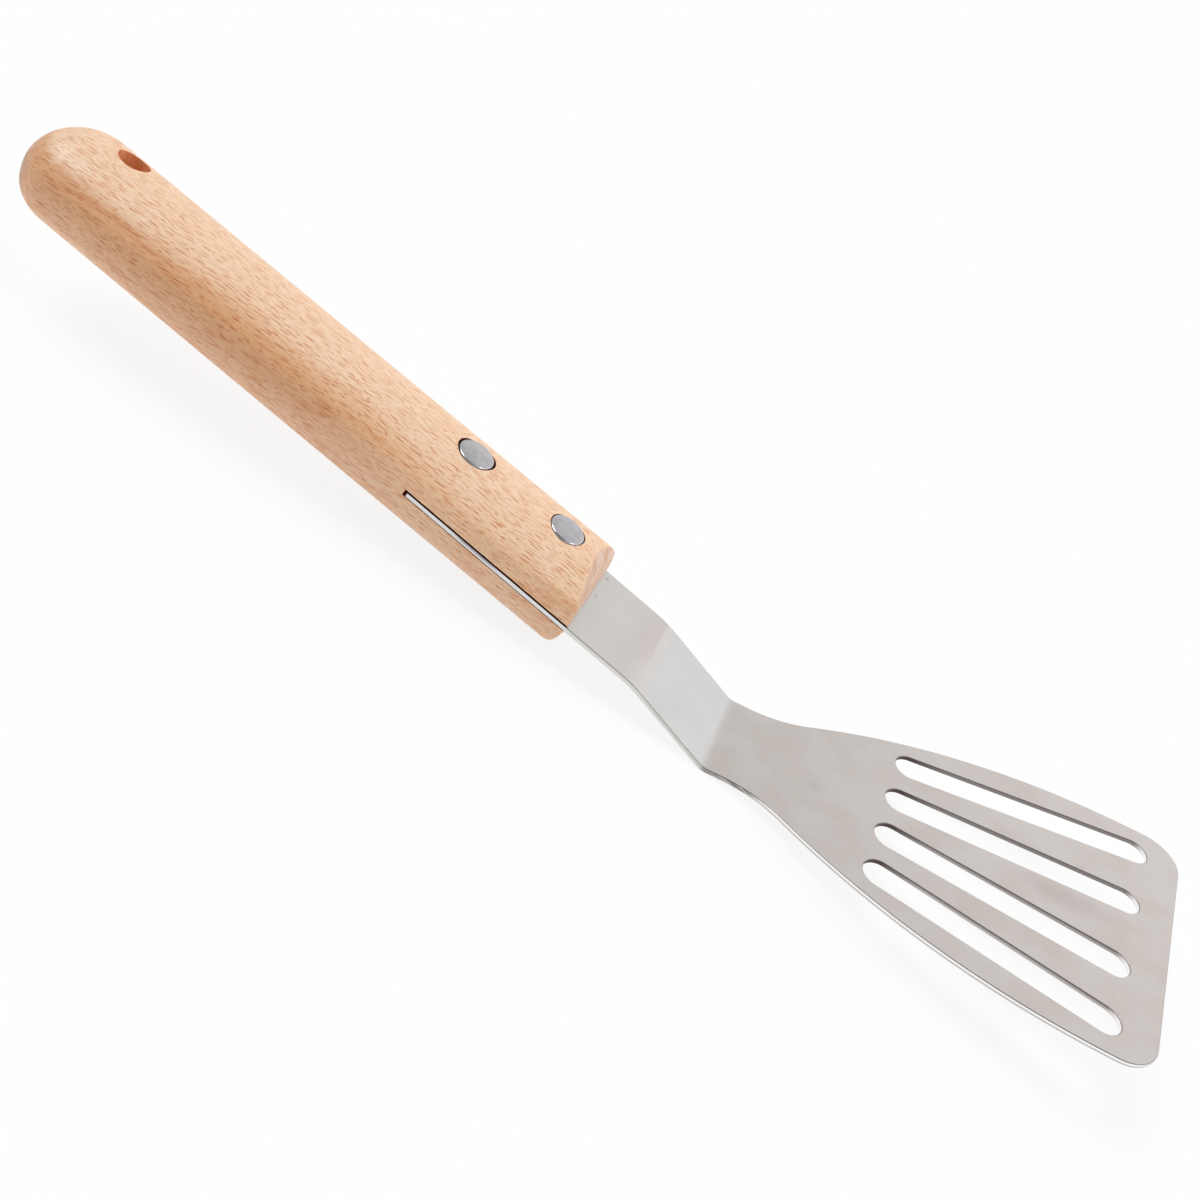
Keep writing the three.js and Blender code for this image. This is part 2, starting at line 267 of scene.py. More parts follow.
def makeHandle():
    # rows run over the nose from its centre, round the broken edge, along the bar and round the butt to a point;
    # the butt is the section drawn in as an ellipse, and the section itself eases into an ellipse on the way
    h = handleShape
    columns = h["columns"]
    v = np.arange(columns) / columns
    yRim, zRim = handleSection(noseX(handleSection(np.zeros(columns), v)[1]), v)
    lip = noseX(zRim)
    inner = 1 - h["noseBreak"] / np.hypot(yRim, zRim)
    share = np.linspace(0, 1, h["noseRows"])[:, None] * inner
    nose = np.stack([noseX(share * zRim), share * yRim, share * zRim], -1)
    barEnd = h["buttRound"] - h["length"]
    run = np.linspace(0, 1, h["barRows"])[:, None]
    xBar = (lip - h["noseBreak"]) * (1 - run) + barEnd * run
    bar = np.stack([xBar, *handleSection(xBar, v)], -1)
    t = np.array([0.25, 0.5, 0.75])[:, None, None]
    lipRow = np.stack([lip, yRim, zRim], -1)
    edge = (1 - t) ** 2 * nose[-1] + 2 * t * (1 - t) * lipRow + t ** 2 * bar[0]
    angle = np.linspace(0, np.pi / 2, h["buttRows"] + 1)[1:, None]
    xButt = barEnd - h["buttRound"] * np.sin(angle) * np.ones(columns)
    yButt, zButt = handleSection(xButt, v)
    bulge = np.hypot(yButt / (h["width"] / 2), zButt / (h["buttThickness"] / 2))
    drawn = np.cos(angle) * (1 + np.cos(angle) ** 2 * (bulge - 1)) / bulge
    butt = np.stack([xButt, yButt * drawn, zButt * drawn], -1)
    rows = np.concatenate([nose, edge, bar, butt])
    made = newObject("beechHandle", rows.reshape(-1, 3), ringFaces(len(rows), columns).tolist())
    return closePoles(made)


def kerfCutter():
    h = handleShape
    past, wide = 8, 20  # how far the cut runs out of the nose and to each side
    x, y, z = np.meshgrid([-h["kerfLength"], past], [-wide, wide], [h["kerfFloor"], h["kerfRoof"]], indexing="ij")
    box = tilted(np.stack([x, y, z], -1), h["kerfTilt"])
    faces = [(0, 1, 3, 2), (4, 6, 7, 5), (0, 4, 5, 1), (2, 3, 7, 6), (0, 2, 6, 4), (1, 5, 7, 3)]
    return newObject("kerf", box.reshape(-1, 3), faces)


def rimHeight(x, sign):  # a rivet's rim stands a little above the crown beside it
    radius, centre = crownAt(x, sign)
    return centre + np.sqrt(radius ** 2 - rivetShape["headRadius"] ** 2) + rivetShape["proud"]


handle = makeHandle()
carve(handle, kerfCutter())
top = handleShape["lipThickness"]
for name in ("front", "rear"):
    r = rivetShape
    fromFront = r[name]
    pocket = r["headRadius"] + r["pocketGap"]
    upper, lower = [rimHeight(-fromFront, sign) - r["headEdge"] - r["seatGap"] for sign in (1, -1)]
    shank = r["tubeRadius"] + r["pocketGap"]
    seat = [(0, top), (pocket, top), (pocket, upper), (shank, upper),
            (shank, -lower), (pocket, -lower), (pocket, -top), (0, -top)]
    carve(handle, turned("seat", seat, -fromFront, 0, r["pocketLonger"][name]))
bore = handleShape["holeRadius"]
carve(handle, turned("bore", [(0, top), (bore, top), (bore, -top), (0, -top)],
                     handleShape["holeFromButt"] - handleShape["length"], handleShape["holeOffset"]))
handle.data.shade_smooth()
handle.data.set_sharp_from_angle(angle=np.radians(handleShape["sharpFrom"]))
print("handle:", len(handle.data.polygons), "faces")


# Bent sheet: tang, neck and blade

# lengths in mm and angles in degrees; then the spacing of the mesh's points
sheetShape = dict(
    thickness=1.2, strip=28.0, tangInside=44.7, tangOutside=18.8, tangTilt=0.86, neck=24.7, neckDrop=11.5,
    neckRadius=30.0, bladeRise=17.9, heelRadius=4.0, blade=111.0, width=78.0, widestAt=99.9,
    flankRadius=161.7, fillet=30.0, corner=8.7, tangCorner=0.3, frontSlant=8.3, edgeBreak=0.2,
    breakRows=5, edgeStep=0.7, slotEndStep=0.35, rivetHoleStep=0.5, gridStep=2.2, gridClear=0.6)
# start and land lie before and after the slots, rearY and frontY are the middles of their ends, and pale
# is how bright the lower half of each wall is
slotShape = dict(
    width=7.8, start=40.9, startSlant=3.66, land=8.1, rearY=(-20.1, -6.7, 6.9, 20.9),
    frontY=(-30.1, -12.2, 10.1, 30.0), pale=(0.9, 0.6, 0.1, 0.1))


def bendLine():
    # middle line of the sheet in side view: the heading is steady on the straights and changes evenly in the bends
    p = sheetShape
    spare, samples = 20, 12001  # the line runs on past the front edge
    neckTurn, heelTurn = np.radians(p["neckDrop"]), np.radians(p["neckDrop"] + p["bladeRise"])
    neckArc, heelArc = p["neckRadius"] + p["thickness"] / 2, p["heelRadius"] + p["thickness"] / 2
    neckCut, heelCut = neckArc * np.tan(neckTurn / 2), heelArc * np.tan(heelTurn / 2)
    runs = [p["tangInside"] + p["tangOutside"] - neckCut, neckArc * neckTurn, p["neck"] - neckCut - heelCut,
            heelArc * heelTurn, p["blade"] + spare]
    marks = np.concatenate([[0], np.cumsum(runs)])
    start = -np.radians(p["tangTilt"])
    headings = start + np.array([0, 0, -neckTurn, -neckTurn, heelTurn - neckTurn, heelTurn - neckTurn])
    s = np.linspace(0, marks[-1], samples)
    heading = np.interp(s, marks, headings)
    middle = (heading[1:] + heading[:-1]) / 2
    x = np.concatenate([[0], np.cumsum(np.cos(middle))]) * s[1] - p["tangInside"] * np.cos(start)
    z = np.concatenate([[0], np.cumsum(np.sin(middle))]) * s[1] - p["tangInside"] * np.sin(start)
    return dict(s=s, x=x, z=z, heading=heading, marks=marks, bladeStart=marks[4] - heelCut)


line = bendLine()


def bend(flat):  # from the flat sheet (along, across, up) to its bent place in the handle's frame
    s, y, up = np.moveaxis(flat, -1, 0)
    heading = np.interp(s, line["s"], line["heading"])
    x = np.interp(s, line["s"], line["x"]) - up * np.sin(heading)
    return np.stack([x, y, np.interp(s, line["s"], line["z"]) + up * np.cos(heading)], -1)


def bendNormal(flat, normal):
    heading = np.interp(flat[:, 0], line["s"], line["heading"])
    along, across, up = normal.T
    return np.stack([along * np.cos(heading) - up * np.sin(heading), across,
                     along * np.sin(heading) + up * np.cos(heading)], -1)


def arcRun(centre, radius, start, end, spacing, outward=1):  # points of an arc, with normals out of the sheet
    least = 4  # pieces of the shortest arcs
    count = max(int(np.ceil(abs(end - start) * radius / spacing)), least) + 1
    angle = np.linspace(start, end, count)
    ray = np.stack([np.cos(angle), np.sin(angle)], -1)
    return np.asarray(centre) + radius * ray, outward * ray


def closeLoop(runs, spacing):  # joins arcs by straights and spreads points along the straights
    points = np.concatenate([run[0] for run in runs])
    normals = np.concatenate([run[1] for run in runs])
    gaps = np.linalg.norm(np.roll(points, -1, 0) - points, axis=1)
    counts = np.maximum(np.ceil(gaps / spacing).astype(int), 1) * (gaps > 1e-6)
    first = np.repeat(np.arange(len(points)), counts)
    share = (np.arange(len(first)) - np.repeat(np.cumsum(counts) - counts, counts)) / counts[first]
    following = (first + 1) % len(points)

    def mix(table):
        return table[first] * (1 - share)[:, None] + table[following] * share[:, None]

    normal = mix(normals)
    return mix(points), normal / np.linalg.norm(normal, axis=1)[:, None]


def sheetLoop():
    # outline of the flat sheet: strip, concave fillet, long convex flank, and rounded corners on a slanted front edge
    p = sheetShape
    strip, half = p["strip"] / 2, p["width"] / 2
    start = line["bladeStart"]
    flank = np.array([p["widestAt"], half - p["flankRadius"]])
    filletY = strip + p["fillet"]
    filletX = flank[0] - np.sqrt((p["flankRadius"] + p["fillet"]) ** 2 - (filletY - flank[1]) ** 2)
    meeting = np.arctan2(filletY - flank[1], filletX - flank[0])
    slant = np.radians(p["frontSlant"])
    front = np.array([np.cos(slant), -np.sin(slant)])
    across = np.array([np.sin(slant), np.cos(slant)])

    def side(sign):  # from the tang's end forward to the front edge, on one side
        base = front * (p["blade"] * np.cos(slant) - p["corner"])
        toBase = base - (flank[0], sign * flank[1])
        b = toBase @ across
        reach = -b + sign * np.sqrt(b * b - toBase @ toBase + (p["flankRadius"] - p["corner"]) ** 2)
        corner = base + across * reach
        leave = np.arctan2(sign * corner[1] - flank[1], corner[0] - flank[0])
        runs = [
            arcRun((p["tangCorner"] - start, strip - p["tangCorner"]), p["tangCorner"], np.pi, np.pi / 2, 0.4),
            arcRun((filletX, filletY), p["fillet"], -np.pi / 2, meeting - np.pi, 1.0, -1),
            arcRun(flank, p["flankRadius"], meeting, leave, 1.5),
            arcRun((corner[0], sign * corner[1]), p["corner"], leave, -sign * slant, 0.6)]
        flip = np.array([1, sign])
        return [(points * flip, normals * flip) for points, normals in runs]

    right, left = side(-1), side(1)
    loop, normal = closeLoop(right + [(q[::-1], n[::-1]) for q, n in reversed(left)], p["edgeStep"])
    return loop + (start, 0), normal


def slotLines():  # the ends' centres of each slot on the flat sheet
    p, q = sheetShape, slotShape
    slant, radius = np.radians(p["frontSlant"]), q["width"] / 2
    rearY, frontY = np.array(q["rearY"]), np.array(q["frontY"])
    rearX = q["start"] + radius + rearY * np.tan(np.radians(q["startSlant"]))
    frontX = p["blade"] + frontY * np.tan(slant) - (q["land"] + radius) / np.cos(slant)
    shift = line["bladeStart"]
    return np.stack([rearX + shift, rearY], -1), np.stack([frontX + shift, frontY], -1)


def holeLoop(rear, front, radius, spacing):  # two half circles joined by straights; normals point into the hole
    heading = np.arctan2(front[1] - rear[1], front[0] - rear[0])
    quarter = np.pi / 2
    return closeLoop([arcRun(front, radius, heading + quarter, heading - quarter, spacing, -1),
                      arcRun(rear, radius, heading - quarter, heading - 3 * quarter, spacing, -1)],
                     sheetShape["edgeStep"])


def inLoop(points, loop):  # even-odd test of points against a closed loop
    a, b = loop, np.roll(loop, -1, 0)
    x, y = points[:, :1], points[:, 1:]
    crossing = (a[:, 1] > y) != (b[:, 1] > y)
    with np.errstate(divide="ignore", invalid="ignore"):
        at = a[:, 0] + (y - a[:, 1]) / (b[:, 1] - a[:, 1]) * (b[:, 0] - a[:, 0])
    return (crossing & (x < at)).sum(1) % 2 == 1


def fillSheet(lips, starts, sizes):
    # the flat faces: inner points on lines across the sheet, closer together in the bends, joined to all the lips
    p = sheetShape
    reach, gap, neckLines, heelLines = p["width"] / 2, p["gridStep"], 13, 11
    bends = line["marks"]
    along = np.concatenate([np.arange(2, bends[-1], gap), np.linspace(bends[1], bends[2], neckLines),
                            np.linspace(bends[3], bends[4], heelLines)])
    across = np.arange(0.5 - reach, reach, gap)
    grid = np.stack(np.meshgrid(np.unique(along.round(3)), across, indexing="ij"), -1).reshape(-1, 2)
    grid = grid[inLoop(grid, lips[0])]
    for lip in lips[1:]:
        grid = grid[~inLoop(grid, lip)]
    nearest = np.concatenate([np.linalg.norm(part[:, None] - np.concatenate(lips)[None], axis=2).min(1)
                              for part in np.array_split(grid, 12)])  # in parts, to spare memory
    grid = grid[nearest > p["gridClear"]]
    flat = np.concatenate(lips + [grid])
    edges = [(start + i, start + (i + 1) % size) for start, size in zip(starts, sizes) for i in range(size)]
    _, _, faces, origins, _, _ = geometry.delaunay_2d_cdt(flat.tolist(), edges, [], 1, 1e-6)
    origin = np.array([o[0] for o in origins])
    triangles = origin[np.array(faces)]
    centres = flat[triangles].mean(1)
    for lip in lips[1:]:
        keep = ~inLoop(centres, lip)
        triangles, centres = triangles[keep], centres[keep]
    return flat, triangles


def makeSheet():
    p = sheetShape
    half, broken = p["thickness"] / 2, p["edgeBreak"]
    rear, front = slotLines()
    shank = rivetShape["tubeRadius"] + rivetShape["pocketGap"]
    loops = [sheetLoop()]
    loops += [holeLoop(a, b, slotShape["width"] / 2, p["slotEndStep"]) for a, b in zip(rear, front)]
    for fromFront in (rivetShape["front"], rivetShape["rear"]):
        centre = np.array([p["tangInside"] - fromFront, 0.0])
        loops.append(holeLoop(centre, centre, shank, p["rivetHoleStep"]))
    lips = [points - broken * normals for points, normals in loops]  # where the broken edge meets the flat face
    sizes = np.array([len(lip) for lip in lips])
    starts = np.cumsum(sizes) - sizes
    flat, triangles = fillSheet(lips, starts, sizes)

    # the edge's profile, carried along every loop: a quarter round, the wall, and a quarter round
    turn = np.linspace(0, np.pi / 2, p["breakRows"])
    out = np.concatenate([np.sin(turn), np.sin(turn[::-1])])
    up = np.concatenate([np.cos(turn), -np.cos(turn[::-1])])
    inset = broken * (1 - out)
    height = np.where(up >= 0, half - broken, broken - half) + broken * up
    count = len(flat)
    points = [np.column_stack([flat, np.full(count, half)]), np.column_stack([flat, np.full(count, -half)])]
    normals = [np.tile((0.0, 0, 1), (count, 1)), np.tile((0.0, 0, -1), (count, 1))]
    marks = {name: [np.zeros(2 * count)]
             for name in ("slotWall", "slotRear", "slotFrontHighlight", "slotPale", "outerWall", "brokenEdge")}
    marks["low"] = [np.repeat((0.0, 1.0), count)]
    faceList = [triangles, triangles[:, ::-1] + count]
    base = 2 * count
    for index, ((loop, normal), start, size) in enumerate(zip(loops, starts, sizes)):
        inner = len(out) - 2
        isSlot = 1 <= index <= len(rear)
        ring = loop[None] - inset[1:-1, None, None] * normal[None]
        rise = np.broadcast_to(height[1:-1, None, None], ring.shape[:2] + (1,))
        points.append(np.concatenate([ring, rise], -1).reshape(-1, 3))
        lean = np.concatenate([normal[None] * out[1:-1, None, None],
                               np.broadcast_to(up[1:-1, None, None], ring.shape[:2] + (1,))], -1)
        normals.append(lean.reshape(-1, 3))
        wall = out[1:-1, None] ** 4 * np.ones(size)
        # a slot's wall is dark for 4 mm from its rear end, no longer so at 13 mm, and bright round its front end; the
        # dark is partly the cut edge's own and partly painted shade of the shadowed floor it reflects, and the bright
        # is a painted highlight
        fromRear = loop[:, 0] - loop[:, 0].min()
        marks["slotWall"].append((wall * np.clip(1.15 + normal[:, 0], 0, 1) * isSlot).ravel())
        marks["slotRear"].append((wall * np.clip((13 - fromRear) / 9, 0, 1)).ravel())
        marks["slotFrontHighlight"].append((wall * np.clip(-1.8 * normal[:, 0] - 0.6, 0, 1) * isSlot).ravel())
        marks["slotPale"].append((wall * (0, *slotShape["pale"], 0, 0)[index]).ravel())
        marks["outerWall"].append((wall * (index == 0)).ravel())
        marks["low"].append((up[1:-1, None] < 0) * np.ones(size).ravel())
        marks["brokenEdge"].append((2 * out * np.sqrt(1 - out ** 2))[1:-1, None].repeat(size, 1).ravel())
        order = np.concatenate([[start + np.arange(size)], base + np.arange(inner * size).reshape(inner, size),
                                [count + start + np.arange(size)]])
        following = np.roll(order, -1, 1)
        faceList.append(np.stack([order[:-1], order[1:], following[1:], following[:-1]], -1).reshape(-1, 4))
        base += inner * size
    points, normals = np.concatenate(points), np.concatenate(normals)
    made = newObject("steelBlade", bend(points), [face for part in faceList for face in part.tolist()])
    mesh = made.data
    for name, parts in marks.items():
        values = np.concatenate([part.ravel() for part in parts]).astype(np.float32)
        mesh.attributes.new(name, "FLOAT", "POINT").data.foreach_set("value", values)
    mesh.shade_smooth()
    turnedNormals = tilted(bendNormal(points, normals), rest["tilt"])
    mesh.normals_split_custom_set_from_vertices(turnedNormals.tolist())
    return made


blade = makeSheet()
print("blade:", len(blade.data.polygons), "faces")


# Rivets

def headProfile(x, sign):
    # a low dome, a quarter round at the rim, and the edge down to the underside of the head
    r = rivetShape
    rim = rimHeight(x, sign)
    flat = r["headRadius"] - r["rimRound"]
    radius = (flat ** 2 + r["dome"] ** 2) / (2 * r["dome"])
    spread = np.linspace(0, np.arcsin(flat / radius), r["domeRows"])
    crown = rim + r["dome"]
    dome = np.stack([radius * np.sin(spread), crown - radius * (1 - np.cos(spread))], -1)
    turn = np.linspace(spread[-1], np.pi / 2, r["rimRows"])
    rimTop = dome[-1] - r["rimRound"] * np.array([np.sin(turn[0]), np.cos(turn[0])])
    rounded = rimTop + r["rimRound"] * np.stack([np.sin(turn), np.cos(turn)], -1)
    rounded[:, 0] *= r["headRadius"] / rounded[-1, 0]
    under = rim - r["headEdge"]
    return np.concatenate([dome, rounded[1:], [(r["headRadius"], under)]]), under


def makeRivet(name, fromFront):
    r = rivetShape
    head, under = headProfile(-fromFront, 1)
    lowHead, lowUnder = headProfile(-fromFront, -1)
    hollow = r["pinRadius"] + r["pinGap"]
    foot, tip = r["pinGap"] - lowUnder, r["pinGap"] - under + r["pinShort"]
    roof = under - r["tubeRoof"]
    tube = np.concatenate([head, [(r["tubeRadius"], under), (r["tubeRadius"], foot),
                                  (hollow, foot), (hollow, roof), (0, roof)]])
    pin = np.concatenate([lowHead, [(r["pinRadius"], lowUnder), (r["pinRadius"], tip), (0, tip)]])
    upper = turned(name + "RivetTube", tube, -fromFront, 0)
    lower = turned(name + "RivetPin", pin * (1, -1), -fromFront, 0)
    lower.data.flip_normals()
    for half in (upper, lower):
        half.data.shade_smooth()
        half.data.set_sharp_from_angle(angle=np.radians(r["sharpFrom"]))
    return upper, lower


rivets = {name: makeRivet(name, rivetShape[name]) for name in ("front", "rear")}
print("rivets made")


# Beech

# colours on the screen's scale of 0 to 255; flecks: spacing along and across, half length and half width in mm
beech = dict(
    crown=(252, 222, 193), bandRear=(229, 179, 138), bandMiddle=(230, 176, 126), bandFront=(248, 210, 175),
    sideRear=(251, 215, 186), sideFront=(247, 214, 187), endGrain=(246, 225, 214), butt=(192, 158, 136),
    smudge=(236, 192, 148), fibre=(243, 226, 206), fleck=(220, 158, 108), ring=(228, 194, 168),
    broadRing=(218, 164, 122), bore=(250, 190, 142), boreRear=(236, 166, 116), boreStreak=(243, 225, 210),
    kerf=(178, 88, 62), pocket=(112, 52, 30), shine=(252, 236, 224), roughness=0.46,
    largeFlecks=((4.0, 0.8), 1.7, 0.13), smallFlecks=((3.0, 0.62), 1.1, 0.1),
    fibreSize=(2.2, 0.16, 0.16), smudgeSize=(8.0, 1.6, 1.6), ringSize=(30.0, 0.5, 5.0))


def beechFinish():
    material, start, spot = newFinish("beech")
    x, y, z = split(spot)
    facing = start.node("ShaderNodeNewGeometry", {}, {}, "Normal")
    facingX, _, facingZ = split(facing)
    upright = abs(facingZ)
    # painted shade, partly the wood's own warmer colour: a pale crown, and below its edge a darker, more orange band
    # that fades into the paler side, darker at the rear than at the front, for the light falling off over the
    # shoulder
    forward = step(x, -85.0, -35.0)
    band = blendColour(forward, linear(*beech["bandRear"]), linear(*beech["bandFront"]))
    side = blendColour(forward, linear(*beech["sideRear"]), linear(*beech["sideFront"]))
    tone = blendColour(step(z, -6.0, 3.5) * 0.8 + 0.2, side, band)
    tone = blendColour(step(upright, 0.69, 0.86), tone, linear(*beech["crown"]))
    # darker half way along the edge between side and crown; and painted shade where the butt faces back, as if turned
    # from the light
    middle = (1.0 - step(abs(x + 80.0), 18.0, 52.0)) * step(upright, 0.3, 0.7)
    middle = middle * (1.0 - step(upright, 0.8, 0.93))
    tone = blendColour(middle * 0.45, tone, linear(*beech["bandMiddle"]))
    paintedButtShade = step(0.0 - facingX, 0.35, 0.9) * (1.0 - step(facingZ, 0.2, 0.7)) * step(facingZ, -0.75, -0.2)
    tone = blendColour(paintedButtShade, tone, linear(*beech["butt"]))
    onEnd = step(facingX, 0.5, 0.85)
    onButt = step(0.0 - facingX, 0.6, 0.9)
    tone = blendColour(onEnd * 0.85, tone, linear(*beech["endGrain"]))

    # the grain leans a little off the handle's length, more so at the butt, and wavers
    lean = x * 0.022 - x * x * 0.000275
    grain = start.node("ShaderNodeCombineXYZ", {}, {0: x, 1: y - lean, 2: z - lean})
    sway = start.node("ShaderNodeTexNoise", {}, {
        "Vector": stretch(grain, (16.0, 7.0, 7.0)), "Scale": 1.0, "Detail": 1.0}, "Color")
    waver, meanRadius = 0.9, 12.5  # mm
    grain = start.node("ShaderNodeVectorMath", {"operation": "MULTIPLY_ADD"}, {
        0: sway, 1: (0.0, waver, waver), 2: grain})
    # the handle unrolled about its axis, with the seam underneath
    around = start.math("ARCTAN2", y, z) * meanRadius - lean
    unrolled = start.node("ShaderNodeCombineXYZ", {}, {0: x, 1: around + split(sway)[1] * waver})
    shorter = step(abs(facingX), 0.3, 0.8) * 2.5 + 1.0  # where the surface cuts across the grain

    def flecks(spacing, length, width):  # thin spindles of uneven size, one to a cell
        cell = stretch(unrolled, (*spacing, 1.0))
        plane, sockets = {"voronoi_dimensions": "2D"}, {"Vector": cell, "Scale": 1.0, "Randomness": 1.0}
        middle = start.node("ShaderNodeTexVoronoi", plane, sockets, "Position")
        chance, strength, _ = split(start.node("ShaderNodeTexVoronoi", plane, sockets, "Color"))
        away = start.node("ShaderNodeVectorMath", {"operation": "SUBTRACT"}, {0: cell, 1: middle})
        along, across, _ = split(away)
        along = along * shorter * spacing[0] / (chance * length + 0.4)
        across = across * (spacing[1] / width)
        return step(1.0 - (along ** 2.0 + across ** 2.0) ** 0.5, 0.0, 0.5) * (strength * 0.7 + 0.3)

    fibre = cloud(grain, beech["fibreSize"], 2.0, 0.6)
    smudge = step(cloud(grain, beech["smudgeSize"], 2.0), 0.5, 0.74) * (1.0 - step(upright, 0.75, 0.95) * 0.6)
    tone = blendColour(smudge * 0.45, tone, linear(*beech["smudge"]), "MULTIPLY")
    tone = blendColour(step(fibre, 0.36, 0.7), tone, linear(*beech["fibre"]), "MULTIPLY")
    mark = start.math("MAXIMUM", flecks(*beech["largeFlecks"]), flecks(*beech["smallFlecks"]) * 0.7)
    mark = mark * (1.0 - onEnd * 0.7) * (1.0 - onButt) * (step(upright, 0.6, 0.95) * 0.4 + 0.88)
    tone = blendColour(mark, tone, linear(*beech["fleck"]), "MULTIPLY")
    # worn, smoother patch over the edge where the butt begins to round; its lighter colour is a painted highlight
    wornAndSheen = (1.0 - step(abs(upright - 0.82), 0.02, 0.08)) * (1.0 - step(abs(x + 141.0), 2.0, 6.0))
    wornAndSheen = wornAndSheen * step(0.0 - y, 6.0, 8.0)
    wornAndSheen = wornAndSheen * step(fibre + cloud(spot, (2.4, 2.4, 2.4)), 0.75, 1.2)
    tone = blendColour(wornAndSheen * 0.2, tone, linear(*beech["shine"]))
    # growth rings cross both ends on the slant, one of them broad and tan at the front
    across = z * 0.79 - y * 0.61
    ring = start.node("ShaderNodeCombineXYZ", {}, {0: x, 1: across, 2: y * 0.79 + z * 0.61})
    ring = step(cloud(ring, beech["ringSize"], 2.0), 0.4, 0.66)
    tone = blendColour((onEnd * 0.9 + onButt * 0.3) * ring, tone, linear(*beech["ring"]), "MULTIPLY")
    broad = 1.0 - step(abs(across - 3.4), 0.2, 1.1) + step(across, 7.0, 10.0) * 0.4
    tone = blendColour(onEnd * broad * 0.7, tone, linear(*beech["broadRing"]))

    # the walls of the bore, of the rivets' pockets and of the kerf
    holeX = handleShape["holeFromButt"] - handleShape["length"]
    fromAxis = ((x - holeX) ** 2.0 + (y - handleShape["holeOffset"]) ** 2.0) ** 0.5
    inBore = 1.0 - step(fromAxis, handleShape["holeRadius"] - 0.02, handleShape["holeRadius"] + 0.12)
    drilled = blendColour(step(x, holeX - 3.0, holeX + 1.5), linear(*beech["boreRear"]), linear(*beech["bore"]))
    streaks = step(cloud(spot, (0.6, 0.6, 4.0)), 0.4, 0.68)
    drilled = blendColour(streaks, drilled, linear(*beech["boreStreak"]), "MULTIPLY")
    tone = blendColour(inBore, tone, drilled)
    # painted shade: the rivets' pockets are coloured dark red-brown round the heads, where the gap lies in shadow
    for name in ("front", "rear"):
        longer = rivetShape["pocketLonger"][name]
        fromAxis = (((x + rivetShape[name]) / longer) ** 2.0 + y ** 2.0) ** 0.5
        pocket = rivetShape["headRadius"] + rivetShape["pocketGap"]
        tone = blendColour(1.0 - step(fromAxis, pocket + 0.01, pocket + 0.06), tone, linear(*beech["pocket"]))
    kerfZ = z + x * np.tan(np.radians(handleShape["kerfTilt"]))
    inKerf = step(kerfZ, handleShape["kerfFloor"] - 0.06, handleShape["kerfFloor"] - 0.01)
    inKerf = inKerf * (1.0 - step(kerfZ, handleShape["kerfRoof"] + 0.01, handleShape["kerfRoof"] + 0.06))
    halfWidth, kerfEnd = handleShape["width"] / 2, -handleShape["kerfLength"]
    inKerf = inKerf * (1.0 - step(abs(y), halfWidth - 0.2, halfWidth - 0.08))
    inKerf = inKerf * step(x, kerfEnd - 0.2, kerfEnd - 0.05)
    tone = blendColour(inKerf, tone, linear(*beech["kerf"]))
    height = fibre * 0.6 - mark * 0.6
    bump = start.node("ShaderNodeBump", {}, {"Height": height, "Strength": 0.25, "Distance": 0.0002}, "Normal")
    roughness = beech["roughness"] + fibre * 0.1 - wornAndSheen * 0.2
    closeFinish(start, {"Base Color": tone, "Roughness": roughness, "Normal": bump})
    return material


# Stainless steel and rivet metal

# scuffs are small stains: place, half sizes in mm, and strength
steel = dict(
    tang=(215, 210, 206), neck=(209, 208, 207), blade=(214, 209, 205), bladeEnd=(217, 211, 207),
    rosy=(244, 238, 236), fine=(196, 188, 184), creaseShade=(196, 184, 181), byHandle=(215, 215, 211),
    slotRear=(84, 72, 72), slotRun=(134, 128, 127), slotLow=(212, 206, 205), slotFrontHighlight=(253, 251, 251),
    kerfWall=(230, 230, 232), kerfShade=(132, 132, 138), tangWall=(216, 215, 211), neckWall=(203, 201, 198),
    bladeWall=(254, 254, 254), wallLow=(226, 225, 222), bladeLow=(198, 192, 190), torn=(118, 115, 114),
    brokenEdge=(104, 94, 90), kerfEdgeShade=(104, 48, 38), stain=(168, 152, 150), roughness=0.42,
    mottleSize=(11.0, 11.0, 11.0), fineSize=(0.5, 0.5, 0.5),
    scuffs=((125.0, 1.0, 13.0, 4.5, 0.24), (1.3, 11.3, 0.8, 0.9, 0.5), (1.3, 2.8, 0.6, 0.7, 0.5),
            (66.5, -2.5, 3.2, 1.8, 0.16)))
# where each tone begins and where it is full, in mm from the handle's front end
steelZone = dict(
    neck=(19.0, 23.0), blade=(42.5, 44.0), bladeEnd=(46.0, 110.0), rosy=(42.5, 46.0), creaseShade=(11.0, 19.2),
    creaseEnd=(19.2, 19.8), byHandleEnd=(3.0, 12.0), tangWall=(-2.0, 2.0), neckWall=(20.0, 30.0),
    bladeWall=(54.0, 60.0), torn=(42.0, 44.0), tornEnd=(52.0, 57.0))
rivetMetal = dict(colour=(197, 195, 198), mottle=(180, 178, 182), mottleSize=(2.5, 2.5, 2.5), roughness=0.36)


